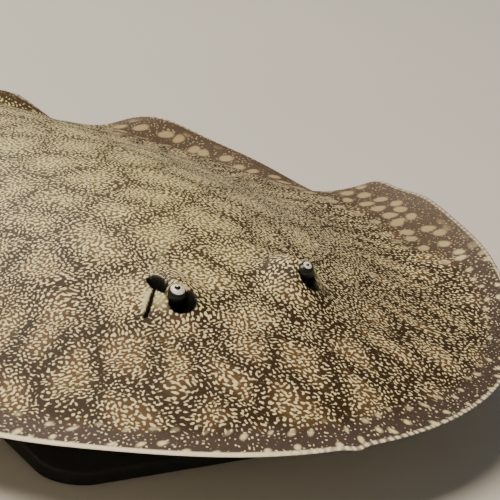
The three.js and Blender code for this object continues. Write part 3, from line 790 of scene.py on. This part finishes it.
def rim_line(tree, g):
    """The bright line on the rim, partly its pale edge and partly painted highlight: whole and a little
    wider on the right, and broken by a sine wave on the left.
    """
    whole = add(tree, "MapRange", {"Value": g.arc_mm, "From Min": -40.0, "From Max": 20.0, **FALLING})
    dots = add(tree, "SeparateXYZ", {0: g.strip}, out="X")
    dots = add(tree, "Math", {0: dots, 1: 2 * np.pi / RIM_DOT_PITCH}, operation="MULTIPLY")
    dots = add(tree, "Math", {0: g.patch, 1: 9.0, 2: dots}, operation="MULTIPLY_ADD")
    dots = add(tree, "Math", {0: dots}, operation="SINE")
    dots = add(tree, "MapRange", {"Value": dots, "From Min": -0.5, "From Max": 0.3, "To Min": 0.2})
    dull = add(tree, "MapRange", {"Value": g.arc_mm, "From Min": 100.0, "From Max": 150.0, "To Max": 0.6})
    dots = add(tree, "Mix", {0: dull, 2: dots, 3: 0.3})
    dots = add(tree, "Math", {0: dots, 1: whole}, operation="MAXIMUM")
    line = add(tree, "Math", {0: whole, 1: -0.7, 2: g.rim_mm}, operation="MULTIPLY_ADD")
    line = add(tree, "MapRange", {"Value": line, "From Min": 0.9, "From Max": 2.0, **FALLING}, **SOFT)
    return add(tree, "Math", {0: line, 1: dots}, operation="MULTIPLY")


def back_colour(tree, g, hearts, marks, line):
    """Brown ground and cream marks, both more olive and, as painted sheen, lighter and softer in contrast
    far in from the rim.
    """
    # Far in, the ground is lighter and its contrast softer: partly an olive tone, partly painted sheen.
    far = add(tree, "MapRange", {"Value": g.rim_mm, "From Min": 80.0, "From Max": 160.0}, **SOFT)
    root = add(tree, "MapRange", {"Value": g.along, "From Min": 430.0, "From Max": 475.0}, **SOFT)
    far = add(tree, "Math", {0: far, 1: root}, operation="MAXIMUM")
    lit = add(tree, "Mix", {0: far, 6: srgb("#644c2d"), 7: srgb("#807244")}, **COLOURS)
    deep = add(tree, "Mix", {0: far, 6: srgb("#35240f"), 7: srgb("#4e4024")}, **COLOURS)
    ground = add(tree, "Mix", {0: hearts, 6: deep, 7: lit}, **COLOURS)
    margin = add(tree, "Mix", {0: g.aside, 6: srgb("#4c3f38"), 7: srgb("#554638")}, **COLOURS)
    ground = add(tree, "Mix", {0: g.band, 6: ground, 7: margin}, **COLOURS)
    cream = add(tree, "Mix", {0: g.tint, 6: srgb("#fbedb4"), 7: srgb("#fff4c8")}, **COLOURS)
    cream = add(tree, "Mix", {0: far, 6: cream, 7: srgb("#f6ecb6")}, **COLOURS)
    sides = add(tree, "Math", {0: g.aside, 1: g.band}, operation="MULTIPLY")
    cream = add(tree, "Mix", {0: sides, 6: cream, 7: srgb("#b8a47a")}, **COLOURS)
    colour = add(tree, "Mix", {0: marks, 6: ground, 7: cream}, **COLOURS)
    # On top: the rim line, partly painted highlight; painted highlight on lip and front wall; painted
    # shade in pits.
    for share, over in ((line, "#fff3d4"), (g.pale, "#d8cf9f"), (g.lid, "#d6c78f"), (g.dark, "#0d0c0a")):
        colour = add(tree, "Mix", {0: share, 6: colour, 7: srgb(over)}, **COLOURS)
    return colour


def belly_colour(tree, g, line):
    """Off-white, smoky under the margin band, with brown painted shade in the mouth, nostrils and slits.
    """
    smoke = add(tree, "MapRange", {"Value": g.band, "To Max": 0.8})
    colour = add(tree, "Mix", {0: smoke, 6: srgb("#dcd5c6"), 7: srgb("#7d7268")}, **COLOURS)
    # Over it go the rim line, partly painted highlight, and brown painted shade in the dents.
    for share, over in ((line, "#d9cfae"), (g.dark, "#5d4238")):
        colour = add(tree, "Mix", {0: share, 6: colour, 7: srgb(over)}, **COLOURS)
    return colour


def skin_material():
    """Ray skin: matt, slimy, dark brown under dense pale marks that stand a little proud.

    Its grain is about 0.6 mm across, which breaks up the wet highlights."""
    material, tree = new_material("ray_skin_spotted")
    g = skin_guides(tree)
    lines, hearts = dark_net(tree, g)
    marks = pale_marks(tree, g, lines, hearts)
    line = rim_line(tree, g)
    back = back_colour(tree, g, hearts, marks, line)
    under = belly_colour(tree, g, line)
    below = add(tree, "MapRange", {"Value": g.belly, "From Min": 0.35, "From Max": 0.65}, **SOFT)
    colour = add(tree, "Mix", {0: below, 6: back, 7: under}, **COLOURS)
    grain = add(tree, "TexNoise", {"Vector": g.place, "Scale": 1.6, "Detail": 3.0})
    relief = add(tree, "Math", {0: marks, 1: 0.8, 2: grain}, operation="MULTIPLY_ADD")
    bump = add(tree, "Bump", {"Height": relief, "Strength": 0.6, "Distance": 0.0003})
    rough = add(tree, "MapRange", {"Value": grain, "From Min": 0.3, "From Max": 0.7, "To Min": 0.44,
                                   "To Max": 0.62})
    finish(tree, Base_Color=colour, Roughness=rough, Normal=bump, IOR=1.38, Specular_IOR_Level=0.4)
    return material


def eye_material():
    """A wet eyeball: silver iris with dark flecks, black pupil notched from above, and a dark rest.

    The iris ends at 1 of the place across it. The notch is an ellipse taken out of the pupil's disc."""
    material, tree = new_material("wet_eyeball")
    x = add(tree, "Attribute", attribute_name="iris_x", out="Fac")
    y = add(tree, "Attribute", attribute_name="iris_y", out="Fac")
    spot = add(tree, "CombineXYZ", {"X": x, "Y": y, "Z": 0.0})
    radius = add(tree, "VectorMath", {0: spot}, out="Value", operation="LENGTH")
    iris = add(tree, "MapRange", {"Value": radius, "From Min": 0.98, "From Max": 1.16, **FALLING}, **SOFT)
    middle = add(tree, "VectorMath", {0: spot, 1: (0.1, 0.0, 0.0)})
    pupil = add(tree, "VectorMath", {0: middle}, out="Value", operation="LENGTH")
    pupil = add(tree, "MapRange", {"Value": pupil, "From Min": 0.40, "From Max": 0.46, **FALLING})
    notch = add(tree, "VectorMath", {0: middle, 1: (0, -0.38, 0)})
    notch = add(tree, "VectorMath", {0: notch, 1: (1 / 0.16, 1 / 0.28, 0)}, operation="MULTIPLY")
    notch = add(tree, "VectorMath", {0: notch}, out="Value", operation="LENGTH")
    notch = add(tree, "MapRange", {"Value": notch, "From Min": 0.9, "From Max": 1.1})
    pupil = add(tree, "Math", {0: pupil, 1: notch}, operation="MULTIPLY")
    flecks = add(tree, "TexNoise", {"Vector": spot, "Scale": 5.0, "Detail": 3.0})
    flecks = add(tree, "MapRange", {"Value": flecks, "From Min": 0.52, "From Max": 0.72})
    silver = add(tree, "Mix", {0: flecks, 6: srgb("#fffaf0"), 7: srgb("#6a6458")}, **COLOURS)
    ball = add(tree, "Mix", {0: iris, 6: srgb("#0e100c"), 7: silver}, **COLOURS)
    colour = add(tree, "Mix", {0: pupil, 6: ball, 7: srgb("#050505")}, **COLOURS)
    rough = add(tree, "MapRange", {"Value": iris, "To Min": 0.6, "To Max": 0.28})
    finish(tree, Base_Color=colour, Roughness=rough, IOR=1.38, Coat_Weight=0.5, Coat_Roughness=0.04)
    return material


def dentine_material():
    """Vasodentine of sting and thorns: hard and ivory, with grooves along the tail about 0.4 mm apart."""
    material, tree = new_material("ivory_dentine")
    here = add(tree, "TexCoord", out="Object")
    grooves = add(tree, "Mapping", {"Vector": here, "Scale": (2600, 160, 2600)})
    grooves = add(tree, "TexNoise", {"Vector": grooves, "Scale": 1.0, "Detail": 2.0})
    colour = add(tree, "Mix", {0: grooves, 6: srgb("#8f8062"), 7: srgb("#e6dcc2")}, **COLOURS)
    bump = add(tree, "Bump", {"Height": grooves, "Strength": 0.5, "Distance": 0.0001})
    finish(tree, Base_Color=colour, Roughness=0.42, Normal=bump, IOR=1.54)
    return material


def painted_steel_material():
    """Powder-coated steel plate: satin black with a faint orange peel about 1.1 mm across."""
    material, tree = new_material("satin_black_powder_coat")
    here = add(tree, "TexCoord", out="Object")
    peel = add(tree, "TexNoise", {"Vector": here, "Scale": 900.0, "Detail": 2.0})
    colour = add(tree, "Mix", {0: peel, 6: srgb("#191a1b"), 7: srgb("#242628")}, **COLOURS)
    bump = add(tree, "Bump", {"Height": peel, "Strength": 0.3, "Distance": 0.0002})
    finish(tree, Base_Color=colour, Roughness=0.42, Normal=bump)
    return material


def brushed_steel_material():
    """Stainless rod brushed round its length: rings about 0.2 mm apart in the roughness."""
    material, tree = new_material("brushed_stainless_steel")
    here = add(tree, "TexCoord", out="Object")
    rings = add(tree, "Mapping", {"Vector": here, "Scale": (60, 60, 5000)})
    rings = add(tree, "TexNoise", {"Vector": rings, "Scale": 1.0, "Detail": 2.0})
    rough = add(tree, "MapRange", {"Value": rings, "To Min": 0.22, "To Max": 0.42})
    finish(tree, Base_Color=srgb("#b9bbbd"), Metallic=1.0, Roughness=rough)
    return material


def paint(piece, material):
    """Gives a piece one material."""
    piece.data.materials.clear()
    piece.data.materials.append(material)


paint(skin(), skin_material())
wet = eye_material()
paint(eye(1), wet)
paint(eye(-1), wet)
dentine = dentine_material()
paint(sting(), dentine)
paint(thorns(), dentine)
paint(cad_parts["stand_base"], painted_steel_material())
steel = brushed_steel_material()
for rod in ("stand_rod_front", "stand_rod_rear"):
    paint(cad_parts[rod], steel)


# ---- floor, lights and camera ----
def floor():
    """A wide floor of matt, pale studio paper under the stand, a little cloudy."""
    reach = 6.0  # metres each way
    corners = np.array([[-reach, -reach, 0], [reach, -reach, 0], [reach, reach, 0], [-reach, reach, 0]])
    mesh = bpy.data.meshes.new("studio_floor")
    mesh.from_pydata(corners.tolist(), [], [(0, 1, 2, 3)])
    piece = bpy.data.objects.new("studio_floor", mesh)
    bpy.context.scene.collection.objects.link(piece)
    material, tree = new_material("pale_studio_paper")
    here = add(tree, "TexCoord", out="Object")
    cloud = add(tree, "TexNoise", {"Vector": here, "Scale": 3.0, "Detail": 2.0})
    colour = add(tree, "Mix", {0: cloud, 6: srgb("#cfccc4"), 7: srgb("#d8d5ce")}, **COLOURS)
    finish(tree, Base_Color=colour, Roughness=0.9)
    paint(piece, material)


def softbox(name, place, target, size, power, colour):
    """A square area light at a place, turned towards a target."""
    light = bpy.data.lights.new(name, "AREA")
    light.shape = "SQUARE"
    light.size = size
    light.energy = power
    light.color = srgb(colour)[:3]
    lamp = bpy.data.objects.new(name, light)
    lamp.location = place
    lamp.rotation_euler = (Vector(target) - Vector(place)).to_track_quat("-Z", "Y").to_euler()
    bpy.context.scene.collection.objects.link(lamp)


def camera(target, azimuth, elevation, roll, distance, lens):
    """A camera turned to a target in the animal's frame from an azimuth and elevation, then rolled."""
    a, e, r = np.radians([azimuth, elevation, roll])
    back = np.array([np.cos(a) * np.cos(e), np.sin(a) * np.cos(e), np.sin(e)])
    right = np.array([-np.sin(a), np.cos(a), 0])
    up = np.cross(back, right)
    rolled = np.stack([right * np.cos(r) + up * np.sin(r), up * np.cos(r) - right * np.sin(r), back])
    place = np.array(target) + back * distance
    axes = (to_model(rolled) - ORIGIN) / MM
    data = bpy.data.cameras.new("camera")
    data.lens = lens
    data.clip_start = 0.01
    eye_point = bpy.data.objects.new("camera", data)
    eye_point.matrix_world = Matrix.Translation(to_model(place)) @ Matrix(axes.T.tolist()).to_4x4()
    bpy.context.scene.collection.objects.link(eye_point)
    bpy.context.scene.camera = eye_point


floor()

# A warm key from above on the animal's right, and a sheen light from behind it, in metres.
middle = to_model([0, 0, 0])
softbox("key", middle + [-1.0, -0.2, 1.7], middle, 0.9, 50.0, "#fff1dc")
softbox("sheen", middle + [0.0, 1.9, 1.3], middle, 1.0, 27.0, "#fff6e8")
world = bpy.data.worlds.new("studio")
world.use_nodes = True
world.node_tree.nodes["Background"].inputs["Color"].default_value = srgb("#e6e8ea")
world.node_tree.nodes["Background"].inputs["Strength"].default_value = 0.16
bpy.context.scene.world = world
camera(target=(16.9, 66.6, 0), azimuth=-34.4, elevation=20.4, roll=7.35, distance=936.0, lens=154.2)
